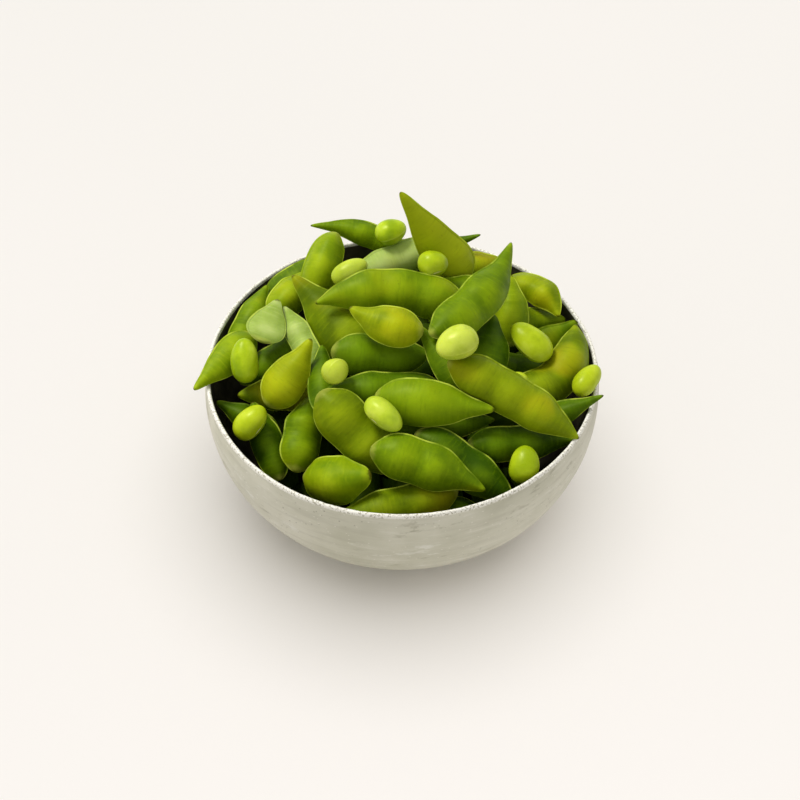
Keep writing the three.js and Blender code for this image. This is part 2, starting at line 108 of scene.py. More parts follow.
def unit(v):
    return v / np.linalg.norm(v)


def stations(node):
    """Centres, half widths and half thicknesses along the loft, and the direction of its thickness."""
    rings = loft_rings(node)
    size = [np.ptp(ring, axis=0).sum() for ring in rings]
    if size[1] < size[-2]:
        rings.reverse()
    centres = np.array([ring.mean(0) for ring in rings])
    fattest = int(np.argmax([np.ptp(ring, axis=0).sum() for ring in rings]))
    ring = rings[fattest] - centres[fattest]
    width = np.linalg.svd(ring)[2][0]
    if width[2] < 0:
        width = -width
    ahead = unit(centres[-1] - centres[0])
    side = unit(np.cross(ahead, width))
    tangents = np.gradient(centres, axis=0)
    half = []
    for ring, centre, tangent in zip(rings, centres, tangents):
        across = unit(np.cross(side, unit(tangent)))
        half.append([np.abs((ring - centre) @ across).max(), np.abs((ring - centre) @ side).max()])
    return centres, np.array(half), side


def through(knots, values, at):
    """A smooth curve through values at knots that never overshoots them (monotone cubic)."""
    values = np.asarray(values, float)
    flat = values.reshape(len(knots), -1)
    step = np.diff(knots)[:, None]
    slope = np.diff(flat, axis=0) / step
    before, after = slope[:-1], slope[1:]
    same = before * after > 0
    inner = np.where(same, 2 * before * after / np.where(same, before + after, 1), 0)
    tangent = np.vstack([slope[:1], inner, slope[-1:]])
    i = np.clip(np.searchsorted(knots, at, side="right") - 1, 0, len(knots) - 2)
    h = step[i]
    t = ((at - knots[i]) / h[:, 0])[:, None]
    made = ((1 + 2 * t) * (1 - t) ** 2 * flat[i] + t * (1 - t) ** 2 * h * tangent[i]
            + t * t * (3 - 2 * t) * flat[i + 1] + t * t * (t - 1) * h * tangent[i + 1])
    return made.reshape((len(at),) + values.shape[1:])


def softened(knots, values, reach, samples=500):
    """Values blurred over a reach along their knots. They run on past each end turned over, so 0 stays 0."""
    length = knots[-1]
    past = 3 * reach
    grid = np.linspace(-past, length + past, samples)
    inside = np.where(grid < 0, -grid, np.where(grid > length, 2 * length - grid, grid))
    sign = np.where((grid < 0) | (grid > length), -1, 1)[:, None]
    read = sign * np.stack([np.interp(inside, knots, column) for column in values.T], axis=1)
    share = np.exp(-((knots[:, None] - grid) / reach) ** 2)
    return share @ read / share.sum(1)[:, None]


def eased(count, power):
    """Shares from 0 to 1, closer together at both ends."""
    t = np.linspace(0, 1, count)
    return t - power * np.sin(2 * math.pi * t) / (2 * math.pi)


def section_turns(count):
    """Angles round a section, closer together at its two edges."""
    u = np.linspace(0, 2 * math.pi, count, endpoint=False)
    return u - EDGE_CROWDING * np.sin(2 * u)


def away_from(centres, points):
    """Unit vectors that point from centres to points."""
    outward = points - centres
    return outward / (np.linalg.norm(outward, axis=1)[:, None] + TINY)


# ------------------------------------------------------------------ meshes

def seed_of(name):
    return sum((i + 1) * ord(c) for i, c in enumerate(name))


def lumps(points, size, seed):
    """Smooth noise from -1 to 1 at each point, with features about size across."""
    shift = Vector((seed % 97 * 3.1, seed % 89 * 1.7, seed % 83 * 2.3))
    return np.array([noise.noise(Vector(p) / size + shift) for p in points])


def put_float(mesh, name, values):
    made = mesh.attributes.new(name, "FLOAT", "POINT")
    made.data.foreach_set("value", np.asarray(values, np.float32))


def put_rows(mesh, name, rows, at_first, at_last):
    """A value for each point of the rows, then one for each pole."""
    put_float(mesh, name, np.append(rows.ravel(), [at_first, at_last]))


def put_whole(mesh, name, value):
    put_float(mesh, name, np.full(len(mesh.vertices), value))


def put_vector(mesh, name, values):
    flat = np.asarray(values, np.float32).ravel()
    mesh.attributes.new(name, "FLOAT_VECTOR", "POINT").data.foreach_set("vector", flat)


UV_MARGIN = 0.02      # the share of the UV map that each pole's fan of faces takes


def skin(name, rows, first, last, material):
    """A closed smooth mesh over rows of points, with a pole at each end, and its UV map."""
    count, around = rows.shape[:2]
    points = np.vstack([rows.reshape(-1, 3), [first, last]])
    pole_a, pole_b = count * around, count * around + 1
    faces, uvs = [], []
    length = np.concatenate([[0], np.cumsum(np.linalg.norm(np.diff(rows.mean(1), axis=0), axis=1))])
    v = UV_MARGIN + (1 - 2 * UV_MARGIN) * length / length[-1]
    for j in range(around):
        k, u, w = (j + 1) % around, j / around, (j + 1) / around
        faces.append((pole_a, k, j))
        uvs += [((u + w) / 2, 0), (w, v[0]), (u, v[0])]
        for i in range(count - 1):
            a, b = i * around, (i + 1) * around
            faces.append((a + j, a + k, b + k, b + j))
            uvs += [(u, v[i]), (w, v[i]), (w, v[i + 1]), (u, v[i + 1])]
        end = (count - 1) * around
        faces.append((end + j, end + k, pole_b))
        uvs += [(u, v[-1]), (w, v[-1]), ((u + w) / 2, 1)]
    mesh = bpy.data.meshes.new(name)
    mesh.from_pydata(points.tolist(), [], faces)
    mesh.uv_layers.new(name="OFBake").data.foreach_set("uv", np.array(uvs, np.float32).ravel())
    mesh.polygons.foreach_set("use_smooth", [True] * len(mesh.polygons))
    bm = bmesh.new()
    bm.from_mesh(mesh)
    if bm.calc_volume(signed=True) < 0:
        bmesh.ops.reverse_faces(bm, faces=bm.faces)
        bm.to_mesh(mesh)
    bm.free()
    mesh.materials.append(material)
    return new_object(name, mesh)


def stand_for(piece, node):
    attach(piece, "root")
    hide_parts(node)


# ------------------------------------------------------------------ pods

SOFTENED = 2.6 * MM    # the outline is smoothed over this much of its length
ONE_BEAN_SOFTER = 1.6  # and over this many times as much where the pod holds one bean
BODY_EDGE, BEAK_EDGE = 1.42, 1.9   # how sharply the section narrows to its sutures: 1 is an ellipse

# The suture is a raised cord along both edges, lower and fainter along one of them.
SUTURE_HEIGHT = 0.62 * MM
SUTURE_WIDTH = 0.55 * MM
SUTURE_WIDEST = 0.2    # as a share of the half thickness, so a thin end has a thin suture
SUTURE_FULL = 2.5 * MM  # it is at full height where the pod's half width is at least this
LOW_SUTURE, FAINT_SUTURE = 0.6, 0.75

# Each bean swells the pod around it.
BULGE = 0.14           # how much of a pod's thickness is the bean's own bulge
BULGE_LEFT = 0.35      # how much of that is there between the beans too
BULGE_REACH = 0.36     # along the pod, as a share of the beans' spacing
BULGE_ACROSS = 0.6     # and across it, as a share of the half width
ONE_BEAN_SPACING = 0.36   # as a share of the pod's length
PLUMP = 1.5            # how soon the section turns from the beak's to the body's

# The ends: a slender beak, a slight neck, and a blunt stub where the stem was.
BEAK_DRAWN, BEAK_STARTS, BEAK_TAPER = 0.24, 0.6, 0.25
NECK_DRAWN, NECK_REACH = 0.2, 0.09
STUB_RADIUS = 0.95 * MM
STUB_ROUNDING = 0.5 * MM
STUB_ENDS, STUB_FADE = 4 * MM, 2.5 * MM

LUMP_SIZE = 9 * MM
LUMP_HEIGHT = 0.22 * MM
FINE_LUMP = 0.45       # a second set of lumps is this much smaller and lower
LUMPS_FULL = 3 * MM    # the half thickness or half width from which the lumps are at full height
LEAST_SQUARE = 1e-10


def make_pod(node, material):
    seed = seed_of(node)
    rng = random.Random(seed)
    centres, half, side = stations(node)
    reach = np.concatenate([[0], np.cumsum(np.linalg.norm(np.diff(centres, axis=0), axis=1))])
    length = reach[-1]
    at = eased(POD_ALONG + 2, END_CROWDING)[1:-1] * length
    middle = through(reach, centres, at)
    beans = [reach[i] for i in range(3, len(reach) - 4, 2)]
    # The stem end closes as a round cap, and the beak as a point.
    capped = np.sqrt(np.maximum(through(reach, half ** 2, at), 0))
    to_beak = np.clip(at / (0.5 * length), 0, 1)[:, None]
    halves = (1 - to_beak) * capped + to_beak * through(reach, half, at)
    ends = np.vstack([[[0, 0]], halves ** 2, [[0, 0]]])
    soft = SOFTENED * (ONE_BEAN_SOFTER if len(beans) < 2 else 1)
    squares = softened(np.concatenate([[0], at, [length]]), ends, soft)[1:-1]
    halves = np.sqrt(np.maximum(squares, LEAST_SQUARE))
    spacing = (beans[1] - beans[0]) if len(beans) > 1 else ONE_BEAN_SPACING * length
    # The beak is drawn in to a slender point, and the stem end a little to a neck.
    share = at / length
    into_beak = np.clip((share - BEAK_STARTS) / BEAK_TAPER, 0, 1)
    drawn = 1 - BEAK_DRAWN * into_beak ** 2 * (3 - 2 * into_beak)
    halves *= (drawn * (1 - NECK_DRAWN * np.exp(-(share / NECK_REACH) ** 2)))[:, None]
    stub = STUB_RADIUS * np.sqrt(np.clip(at / STUB_ROUNDING, 0, 1))
    stub *= np.clip((STUB_ENDS - at) / STUB_FADE, 0, 1)
    halves = np.maximum(halves, stub[:, None])
    bulge = np.zeros(len(at))
    for bean in beans:
        bulge = np.maximum(bulge, np.exp(-((at - bean) / (BULGE_REACH * spacing)) ** 2))
    turn = section_turns(POD_AROUND)
    a, b = np.cos(turn), np.sin(turn)
    tangents = np.gradient(middle, axis=0)
    across = np.array([unit(np.cross(side, unit(t))) for t in tangents])
    rows = np.zeros((len(at), POD_AROUND, 3))
    suture = np.zeros((len(at), POD_AROUND))
    swell = np.zeros((len(at), POD_AROUND))
    for i in range(len(at)):
        wide, thick = halves[i]
        from_suture = np.arcsin(np.abs(b)) * thick
        ridge = np.exp(-(from_suture / min(SUTURE_WIDTH, SUTURE_WIDEST * thick)) ** 2)
        shrink = min(1, wide / SUTURE_FULL)
        hump = bulge[i] * np.exp(-(a / BULGE_ACROSS) ** 2)
        edge = BEAK_EDGE + (BODY_EDGE - BEAK_EDGE) * min(1, bulge[i] * PLUMP)
        swollen = BULGE * (BULGE_LEFT + (1 - BULGE_LEFT) * hump)
        lens = np.abs(b) ** edge * (1 - BULGE) + swollen * np.abs(b)
        up = thick * np.sign(b) * lens
        out = (wide + np.where(a > 0, 1.0, LOW_SUTURE) * SUTURE_HEIGHT * ridge * shrink) * a
        rows[i] = middle[i] + out[:, None] * across[i] + up[:, None] * side
        suture[i] = ridge * np.where(a > 0, 1.0, FAINT_SUTURE)
        swell[i] = hump
    flat = rows.reshape(-1, 3)
    outward = away_from(np.repeat(middle, POD_AROUND, axis=0), flat)
    fade = np.repeat(np.clip(halves.min(1) / LUMPS_FULL, 0, 1), POD_AROUND)
    bumps = lumps(flat, LUMP_SIZE, seed) + FINE_LUMP * lumps(flat, FINE_LUMP * LUMP_SIZE, seed + 11)
    rows = (flat + outward * (LUMP_HEIGHT * bumps * fade)[:, None]).reshape(rows.shape)
    pod = skin(node + "_skin", rows, centres[0], centres[-1], material)
    mesh = pod.data
    put_rows(mesh, "suture", suture, 0, 0)
    put_rows(mesh, "swell", swell, 0, 0)
    put_float(mesh, "from_stem", np.append(np.repeat(at, POD_AROUND), [0, length]) / MM)
    put_float(mesh, "from_tip", np.append(np.repeat(length - at, POD_AROUND), [length, 0]) / MM)
    around = np.outer(halves.mean(1), turn) / MM
    place = np.stack([np.repeat(at, POD_AROUND) / MM, around.ravel(), np.zeros(around.size)], axis=1)
    put_vector(mesh, "place", np.vstack([place, [[0, 0, 0], [length / MM, 0, 0]]]))
    put_whole(mesh, "own", rng.random())
    put_whole(mesh, "paler", PALER.get(node, 0))
    stand_for(pod, node)
    return pod


# ------------------------------------------------------------------ beans

BEAN_LEAN = (0.1, 0.17)    # how far its fattest part is drawn towards one end, least and most
BEAN_DENT = (0.04, 0.09)   # how deep the hollow side is as a share of the half width, least and most
DENT_REACH = 0.45
BLUNT = 0.95               # the power that the outline's half circle is raised to
BEAN_EDGE = 1.1            # how sharply the section narrows to its edges: 1 is an ellipse
SEAM_WIDTH = 0.5 * MM
SEAM_HEIGHT = 0.14 * MM
HILUM_HALF = (1.9 * MM, 0.62 * MM)
NO_HILUM = 9               # any value well over 1 is away from the hilum
BEAN_LUMP_SIZE = 6 * MM
BEAN_LUMP_HEIGHT = 0.18 * MM


def make_bean(node, material):
    seed = seed_of(node)
    rng = random.Random(seed)
    centres, half, side = stations(node)
    start, end = centres[0], centres[-1]
    length = np.linalg.norm(end - start)
    ahead = unit(end - start)
    wide, thick = half.max(0)
    across = unit(np.cross(side, ahead))
    lean = rng.choice((-1, 1)) * rng.uniform(*BEAN_LEAN)
    dent = rng.uniform(*BEAN_DENT)
    t = np.linspace(0, math.pi, BEAN_ALONG + 2)[1:-1]
    turn = section_turns(BEAN_AROUND)
    a, b = np.cos(turn), np.sin(turn)
    rows = np.zeros((len(t), BEAN_AROUND, 3))
    hilum = np.zeros((len(t), BEAN_AROUND))
    seam = np.zeros((len(t), BEAN_AROUND))
    for i, angle in enumerate(t):
        along = -math.cos(angle)
        ring = math.sin(angle) ** BLUNT * (1 + lean * along) / (1 + lean * lean / 2)
        # A bean is a little hollow along the side where it was joined to the pod.
        hollow = 1 - dent * np.exp(-(along / DENT_REACH) ** 2) * np.clip(-a, 0, 1) ** 3
        ridge = np.exp(-((b * thick) / SEAM_WIDTH) ** 2) * math.sin(angle) ** 0.3
        out = wide * ring * a * hollow + SEAM_HEIGHT * ridge * ring * np.sign(a)
        up = thick * ring * np.sign(b) * np.abs(b) ** BEAN_EDGE
        from_middle = along * length / 2
        centre = (start + end) / 2 + from_middle * ahead
        rows[i] = centre + out[:, None] * across + up[:, None] * side
        seam[i] = ridge
        hilum[i] = np.hypot(from_middle / HILUM_HALF[0], b * thick * ring / HILUM_HALF[1])
        hilum[i] += NO_HILUM * (a > 0)
    flat = rows.reshape(-1, 3)
    outward = away_from((start + end) / 2, flat)
    bumps = lumps(flat, BEAN_LUMP_SIZE, seed)
    rows = (flat + outward * (BEAN_LUMP_HEIGHT * bumps)[:, None]).reshape(rows.shape)
    bean = skin(node + "_skin", rows, start, end, material)
    mesh = bean.data
    put_rows(mesh, "hilum", hilum, NO_HILUM, NO_HILUM)
    put_rows(mesh, "seam", seam, 0, 0)
    put_whole(mesh, "own", rng.random())
    put_whole(mesh, "paler", PALER.get(node, 0))
    stand_for(bean, node)
    return bean


# ------------------------------------------------------------------ buried pods

def make_buried(node, material):
    """The joined pods inside the heap, softened where their facets meet."""
    piece = new_object(node + "_skin", NODES[node].data.copy())
    bm = welded(piece.data)
    bm.to_mesh(piece.data)
    bm.free()
    remesh = piece.modifiers.new("remesh", "REMESH")
    remesh.mode = "VOXEL"
    remesh.voxel_size = BURIED_VOXEL
    smooth = piece.modifiers.new("smooth", "SMOOTH")
    smooth.factor = 0.5
    smooth.iterations = 9
    graph = bpy.context.evaluated_depsgraph_get()
    mesh = bpy.data.meshes.new_from_object(piece.evaluated_get(graph))
    piece.modifiers.clear()
    piece.data = mesh
    mesh.materials.clear()
    mesh.materials.append(material)
    mesh.polygons.foreach_set("use_smooth", [True] * len(mesh.polygons))
    stand_for(piece, node)
    return piece


# ------------------------------------------------------------------ the bowl

WALL_STEPS, LIP_STEPS, FOOT_STEPS, CORNER_STEPS = 70, 14, 6, 8
FOOT_BEVEL = 1.2 * MM
FOOT_SPREAD = 1.6      # the bevel is this many times as wide as it is high
LIP_SHARE = 0.5        # how much of the wall's thickness is left at the lip
LIP_TAPER = 14 * MM    # how far down the inside the wall takes to reach its full thickness
LIP_POWER = 2.6        # the lip's section: 2 is round, and more is squarer
CORNER_HEIGHT = 3 * MM  # the inner wall turns into the floor over this height
CORNER_ROUND, CORNER_SLOPE = 5 * MM, 2 * MM

# Where the CAD bowl is measured: on faces that look outwards, clear of the foot and of the lip.
OUTWARDS = 0.3
CLEAR_OF_LIP = 2 * MM
LIP_HEIGHT = 1.2 * MM
LEVEL = 0.01 * MM

# Thrown by hand, the wall is a little uneven: height, size, how much longer round than high, seed.
WALL_WAVES = ((0.28 * MM, 30 * MM, 1.6, 5), (0.07 * MM, 8 * MM, 3, 9))
WAVES_FULL = 6 * MM    # the height above the foot from which they are whole

# The lip is worn: nicks, a finer roughness and a slow wave take a little off its top.
WORN_FROM, WORN_OVER = 2.2 * MM, 1.6 * MM
NICK_SIZE, NICK_DEPTH = 2.2 * MM, 0.42 * MM
NICK_LEAST = 0.15
FINE_NICK = 0.35
LIP_WAVE_SIZE, LIP_WAVE_DEPTH = 16 * MM, 0.12 * MM


def bowl_shape():
    """The ellipse that the CAD bowl's outer wall follows, with its wall, top and floor heights."""
    mesh = NODES["bowl"].data
    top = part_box("bowl")[1].z
    points = np.array([v.co for v in mesh.vertices])
    radius, height = np.hypot(points[:, 0], points[:, 1]), points[:, 2]
    outer = set()
    for face in mesh.polygons:
        away = Vector((face.center.x, face.center.y, 0)).normalized()
        if face.normal.dot(away) > OUTWARDS:
            outer.update(v for v in face.vertices if MM < height[v] < top - CLEAR_OF_LIP)
    chosen = np.array(sorted(outer))
    c, b, a = np.polyfit(height[chosen], radius[chosen] ** 2, 2)
    belly_height = -b / (2 * c)
    belly_radius = math.sqrt(a - c * belly_height ** 2)
    drop = belly_radius / math.sqrt(-c)
    lip_middle = radius[height > top - LEVEL].mean()
    lip_low = max(h for h in height if h < top - LIP_HEIGHT)
    wall = 2 * (belly_radius * math.sqrt(1 - ((belly_height - lip_low) / drop) ** 2) - lip_middle)
    floor = height[(radius < MM) & (height > MM)].mean()
    return belly_height, belly_radius, drop, wall, top, floor


def make_bowl(material):
    belly_height, belly_radius, drop, wall, top, floor = bowl_shape()

    def radius(height, inset):
        return (belly_radius - inset) * math.sqrt(1 - ((belly_height - height) / (drop - inset)) ** 2)

    lip = top - wall / 2
    profile = [(0.3 * radius(0, 0), 0), (0.7 * radius(0, 0), 0)]
    for i in range(FOOT_STEPS + 1):
        turn = math.pi / 2 * i / FOOT_STEPS
        inwards = FOOT_SPREAD * FOOT_BEVEL * (1 - math.sin(turn))
        profile.append((radius(FOOT_BEVEL, 0) - inwards, FOOT_BEVEL * (1 - math.cos(turn))))
    for i in range(1, WALL_STEPS + 1):
        height = FOOT_BEVEL + (lip - FOOT_BEVEL) * i / WALL_STEPS
        profile.append((radius(height, 0), height))
    outer, inner = radius(lip, 0), radius(lip, LIP_SHARE * wall)
    for i in range(1, LIP_STEPS):
        turn = math.pi * i / LIP_STEPS
        square = (abs(math.cos(turn)) ** LIP_POWER + abs(math.sin(turn)) ** LIP_POWER) ** (-1 / LIP_POWER)
        profile.append(((outer + inner) / 2 + (outer - inner) / 2 * math.cos(turn) * square,
                        lip + wall / 2 * math.sin(turn) * square))
    inner_start = len(profile)
    hollow = floor + CORNER_HEIGHT
    for i in range(WALL_STEPS + 1):
        height = lip + (hollow - lip) * i / WALL_STEPS
        thinned = 1 - (1 - LIP_SHARE) * max(0, 1 - (lip - height) / LIP_TAPER) ** 2
        profile.append((radius(height, thinned * wall), height))
    inside = radius(hollow, wall)
    for i in range(1, CORNER_STEPS + 1):
        turn = math.pi / 2 * i / CORNER_STEPS
        inwards = CORNER_ROUND * (1 - math.cos(turn)) + CORNER_SLOPE * turn
        profile.append((inside - inwards, hollow - CORNER_HEIGHT * math.sin(turn)))
    profile.append((0.3 * inside, floor))
    rows = np.zeros((len(profile), BOWL_AROUND, 3))
    turn = np.linspace(0, 2 * math.pi, BOWL_AROUND, endpoint=False)
    for i, (r, z) in enumerate(profile):
        rows[i] = np.stack([r * np.cos(turn), r * np.sin(turn), np.full(BOWL_AROUND, z)], axis=1)
    flat = rows.reshape(-1, 3)
    outward = away_from(0, flat * [1, 1, 0])
    above_foot = np.clip(flat[:, 2] / WAVES_FULL, 0, 1)
    uneven = sum(height * lumps(flat * [1, 1, longer], size, seed)
                 for height, size, longer, seed in WALL_WAVES)
    flat = flat + outward * (uneven * above_foot)[:, None]
    at_lip = np.clip((flat[:, 2] - (top - WORN_FROM)) / WORN_OVER, 0, 1)
    nicks = np.clip(lumps(flat, NICK_SIZE, 17) - NICK_LEAST, 0, 1)
    nicks += FINE_NICK * np.abs(lumps(flat, NICK_SIZE / 2, 23))
    wave = np.abs(lumps(flat, LIP_WAVE_SIZE, 31))
    flat[:, 2] -= at_lip * (NICK_DEPTH * nicks + LIP_WAVE_DEPTH * wave)
    rows = flat.reshape(rows.shape)
    bowl = skin("bowl_skin", rows, (0, 0, 0), (0, 0, floor), material)
    put_float(bowl.data, "lip", np.append(at_lip, [0, 0]))
    # 0 outside and on the lip, and from there down the inner wall the depth below the lip in mm.
    wall_inside = np.repeat(np.arange(len(profile)) >= inner_start, BOWL_AROUND)
    put_float(bowl.data, "inside", np.append(wall_inside * (top - flat[:, 2]) / MM, [0, 9]))
    stand_for(bowl, "bowl")
    return bowl


# ------------------------------------------------------------------ materials

class Shader:
    """A material's node tree, with a short way to write each node that the recipes below use."""

    def __init__(self, name):
        self.material = bpy.data.materials.new(name)
        self.material.use_nodes = True
        self.tree = self.material.node_tree
        self.surface = self.tree.nodes["Principled BSDF"]

    def node(self, kind, *inputs, **settings):
        made = self.tree.nodes.new("ShaderNode" + kind)
        for key, value in settings.items():
            setattr(made, key, value)
        for socket, value in inputs:
            self.feed(made.inputs[socket], value)
        return made

    def feed(self, socket, value):
        if isinstance(value, bpy.types.NodeSocket):
            self.tree.links.new(value, socket)
        elif value is not None:
            socket.default_value = value

    def place(self):
        return self.node("TexCoord").outputs["Object"]

    def value(self, name):
        return self.node("Attribute", attribute_name=name).outputs["Fac"]

    def vector(self, name):
        return self.node("Attribute", attribute_name=name).outputs["Vector"]

    def maths(self, operation, a, b=None, clamp=False):
        return self.node("Math", (0, a), (1, b), operation=operation, use_clamp=clamp).outputs[0]

    def scaled(self, vector, x, y, z):
        return self.node("Mapping", ("Vector", vector), ("Scale", (x, y, z))).outputs[0]

    def noise(self, vector, scale, detail=2.0, roughness=0.5):
        made = self.node("TexNoise", ("Vector", vector), ("Scale", scale), ("Detail", detail),
                         ("Roughness", roughness))
        return made.outputs["Fac"]

    def cells(self, vector, scale):
        return self.node("TexVoronoi", ("Vector", vector), ("Scale", scale)).outputs["Distance"]

    def between(self, value, low, high, to_low=0.0, to_high=1.0):
        made = self.node("MapRange", ("Value", value), ("From Min", low), ("From Max", high),
                         ("To Min", to_low), ("To Max", to_high), interpolation_type="SMOOTHSTEP")
        return made.outputs[0]

    def mixed(self, share, a, b, blend="MIX"):
        made = self.node("Mix", data_type="RGBA", blend_type=blend)
        for socket, value in ((0, share), (6, a), (7, b)):
            self.feed(made.inputs[socket], value)
        return made.outputs[2]

    def bump(self, height, strength, distance, normal=None):
        return self.node("Bump", ("Height", height), ("Strength", strength), ("Distance", distance),
                         ("Normal", normal)).outputs[0]

    def finish(self, colour, roughness, normal, **constants):
        self.feed(self.surface.inputs["Base Color"], colour)
        self.feed(self.surface.inputs["Roughness"], roughness)
        self.feed(self.surface.inputs["Normal"], normal)
        for name, value in constants.items():
            self.surface.inputs[name.replace("_", " ")].default_value = value
        return self.material


def rgb(red, green, blue):
    """A colour from its 0-255 display values, in the linear values that shaders use."""
    def linear(c):
        c /= 255
        return c / 12.92 if c <= 0.04045 else ((c + 0.055) / 1.055) ** 2.4
    return (linear(red), linear(green), linear(blue), 1)


# Each pod tone: shade, middle, light and warm blush, and how much of the pod the blush takes.
POD_TONES = {
    "pod_green": ((68, 98, 2), (110, 138, 3), (150, 176, 16), (152, 162, 8), 0.4),
    "pod_bright": ((98, 128, 3), (138, 160, 5), (178, 196, 30), (166, 176, 10), 0.35),
    "pod_yellow": ((102, 122, 3), (144, 160, 5), (184, 196, 26), (166, 166, 8), 0.45),
    "pod_olive": ((74, 96, 2), (116, 138, 4), (158, 174, 18), (162, 152, 12), 0.5),
    "pod_deep": ((46, 76, 2), (82, 112, 3), (120, 152, 10), (104, 124, 5), 0.2),
    "pod_pale": ((132, 158, 58), (168, 190, 92), (204, 218, 136), (182, 194, 84), 0.2),
}
# Those that are paler than the rest of their kind, and by how much.
# For bean_centre the paleness is painted light: it stands in for the light that falls on that bean.
PALER = {
    "pod_spire": 0.8, "pod_front_leaf": 0.45, "pod_right_long": 0.3, "pod_left_leaf": 0.3,
    "pod_centre_arch": 0.3, "pod_left_diagonal": 0.2, "pod_centre_dark": 0.25,
    "bean_centre": 0.45, "bean_back_left": 0.3, "bean_left_nub": 0.3, "bean_front_yellow": 0.2,
}
SUTURE_RIM_HIGHLIGHT = rgb(194, 210, 74)
SUTURE_SHADE = rgb(44, 68, 4)
BURIED_SHADE = rgb(16, 24, 1)
TIP_BROWN = rgb(66, 56, 14)
STEM_PALE = rgb(164, 168, 70)
FRECKLE = rgb(98, 90, 14)
GREEN_SHEEN = (0.85, 1, 0.3, 1)


def pod_material(slot, buried=False):
    shade, middle, light, warm, warmth = POD_TONES[slot]
    s = Shader(slot + ("_buried" if buried else ""))
    place = s.place()
    mottle = s.noise(place, 85, 4, 0.55)
    patch = s.noise(place, 42, 2)
    colour = s.mixed(s.between(mottle, 0.34, 0.6), rgb(*shade), rgb(*middle))
    colour = s.mixed(s.between(mottle, 0.55, 0.78, 0, 0.55), colour, rgb(*light))
    colour = s.mixed(s.between(patch, 0.66 - 0.3 * warmth, 0.8 - 0.25 * warmth, 0, 0.8), colour, rgb(*warm))
    fuzz = s.noise(place, 2600, 2, 0.6)
    if buried:
        # Painted shade: the buried pods are darkened as if in the shadow of the pods heaped over them.
        colour = s.mixed(0.6, colour, BURIED_SHADE)
        normal = s.bump(s.noise(place, 320, 3), 0.25, 0.4 * MM)
        return s.finish(colour, 0.6, normal, Specular_IOR_Level=0.1, Specular_Tint=GREEN_SHEEN)
    skin_place = s.vector("place")
    own = s.value("own")
    tint = s.mixed(s.between(own, 0, 1), rgb(*shade), rgb(*light))
    colour = s.mixed(0.16, colour, tint)
    colour = s.mixed(s.value("paler"), colour, rgb(*light))
    # Painted light and shade: the skin over each bean is painted lighter, as light on the bulge, and darker
    # between the beans and towards the edges, as painted shade.
    colour = s.mixed(s.between(s.value("swell"), 0.15, 0.9, 0, 0.36), colour, rgb(*light))
    colour = s.mixed(s.between(s.value("swell"), 0.3, 0, 0, 0.22), colour, rgb(*shade))
    # Fine veins run slantwise from the suture.
    slant = s.node("Mapping", ("Vector", skin_place), ("Rotation", (0, 0, math.radians(28))),
                   ("Scale", (0.9, 0.16, 1)))
    veins = s.noise(slant.outputs[0], 1.0, 4, 0.6)
    colour = s.mixed(s.between(veins, 0.52, 0.7, 0, 0.22), colour, rgb(*light))
    colour = s.mixed(s.between(veins, 0.46, 0.3, 0, 0.25), colour, rgb(*shade))
    # The suture is a raised cord, painted pale as a rim highlight along the pod's edge, between two darker
    # lines of painted shade.
    suture = s.value("suture")
    shade_beside = s.maths("MULTIPLY", s.between(suture, 0.02, 0.12), s.between(suture, 0.3, 0.15))
    colour = s.mixed(s.maths("MULTIPLY", shade_beside, 0.3), colour, SUTURE_SHADE)
    broken = s.between(s.noise(place, 130, 3), 0.4, 0.64, 0.06, 0.74)
    colour = s.mixed(s.maths("MULTIPLY", s.between(suture, 0.2, 0.55), broken), colour, SUTURE_RIM_HIGHLIGHT)
    # Freckles, and rare larger marks.
    dots = s.cells(place, 620)
    where = s.noise(place, 150, 2)
    freckles = s.maths("MULTIPLY", s.between(dots, 0.2, 0.08), s.between(where, 0.58, 0.68))
    colour = s.mixed(s.maths("MULTIPLY", freckles, 0.4), colour, FRECKLE)
    # The beak dries to brown at its point, and the stem end is a pale scar.
    ragged = s.maths("MULTIPLY", s.noise(place, 700, 2), 1.6)
    tip = s.maths("ADD", s.value("from_tip"), ragged)
    colour = s.mixed(s.between(tip, 4.4, 2.2, 0, 0.35), colour, rgb(*light))
    colour = s.mixed(s.between(tip, 1.8, 0.9, 0, 0.85), colour, TIP_BROWN)
    stem = s.maths("ADD", s.value("from_stem"), ragged)
    colour = s.mixed(s.between(stem, 3.4, 1.4, 0, 0.55), colour, STEM_PALE)
    rough = s.between(s.noise(place, 240, 3), 0.3, 0.7, 0.4, 0.54)
    normal = s.bump(veins, 0.3, 0.35 * MM)
    normal = s.bump(fuzz, 0.16, 0.12 * MM, normal)
    normal = s.bump(s.noise(place, 520, 3, 0.6), 0.22, 0.25 * MM, normal)
    return s.finish(colour, rough, normal, Subsurface_Weight=0.1, Subsurface_Radius=(0.6, 1.0, 0.05),
                    Subsurface_Scale=1.5 * MM, IOR=1.4, Specular_IOR_Level=0.22,
                    Specular_Tint=GREEN_SHEEN)


